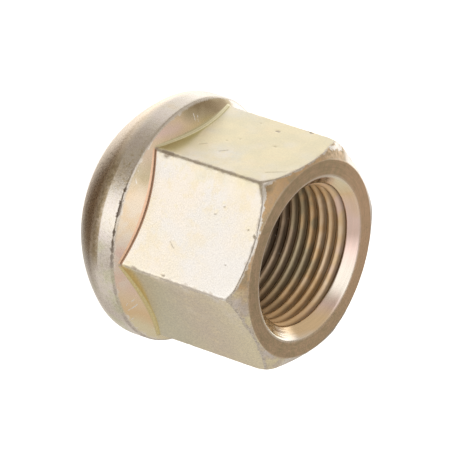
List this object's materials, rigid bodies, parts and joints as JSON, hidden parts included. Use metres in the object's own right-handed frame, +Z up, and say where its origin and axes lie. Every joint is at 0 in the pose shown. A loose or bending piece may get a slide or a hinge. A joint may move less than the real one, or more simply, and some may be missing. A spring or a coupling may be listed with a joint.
{
  "type": "wheel lug nut",
  "caption": "Open-ended hexagonal wheel lug nut with a round collar and a ball seat, threaded right through, in yellow zinc-plated steel.",
  "frame": {"origin": "centre of the flat ring at the seat end, on the thread's axis", "axes": "+Z up the thread's axis from the seat end to the open end; the hexagon's corners lie on +X and -X, and two of its flats face -Y and +Y"},
  "size_m": [0.0328, 0.0328, 0.028],
  "materials": {
    "yellow_zinc": "yellow-passivated zinc plating on forged and turned steel, slightly iridescent"
  },
  "bodies": {
    "root": {"wheel_nut": "yellow_zinc"}
  },
  "joints": []
}
